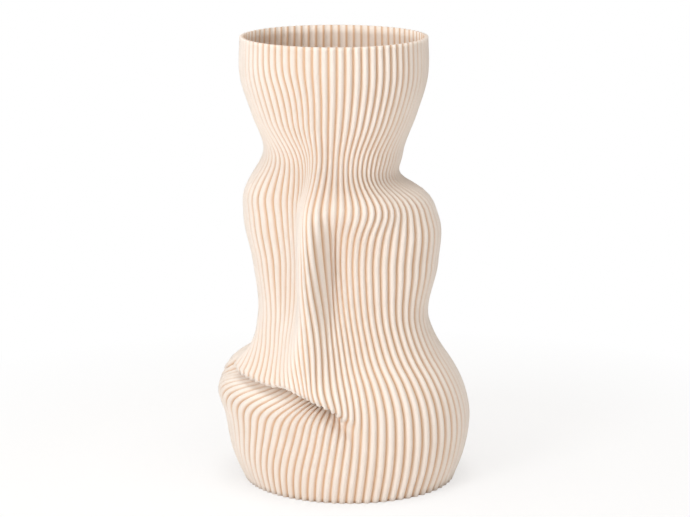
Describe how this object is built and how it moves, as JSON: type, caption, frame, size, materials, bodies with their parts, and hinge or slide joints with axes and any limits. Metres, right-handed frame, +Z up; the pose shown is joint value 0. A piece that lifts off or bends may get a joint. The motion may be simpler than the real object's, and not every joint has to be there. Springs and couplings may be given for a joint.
{
  "type": "vase",
  "caption": "Tall hollow vase with fine vertical ribs all round, a flared collar and an abstract long face with a folded, slanting mouth.",
  "frame": {"origin": "middle of the foot, on the plane it stands on", "axes": "+Z up through the open rim, -Y the way the face looks, +X to the right of someone who looks at the face"},
  "size_m": [0.1696, 0.1746, 0.3],
  "materials": {
    "printed_cream": "matt, fine printed ribs"
  },
  "bodies": {
    "root": {"vase_wall": "printed_cream", "vase_floor": "printed_cream"}
  },
  "joints": []
}
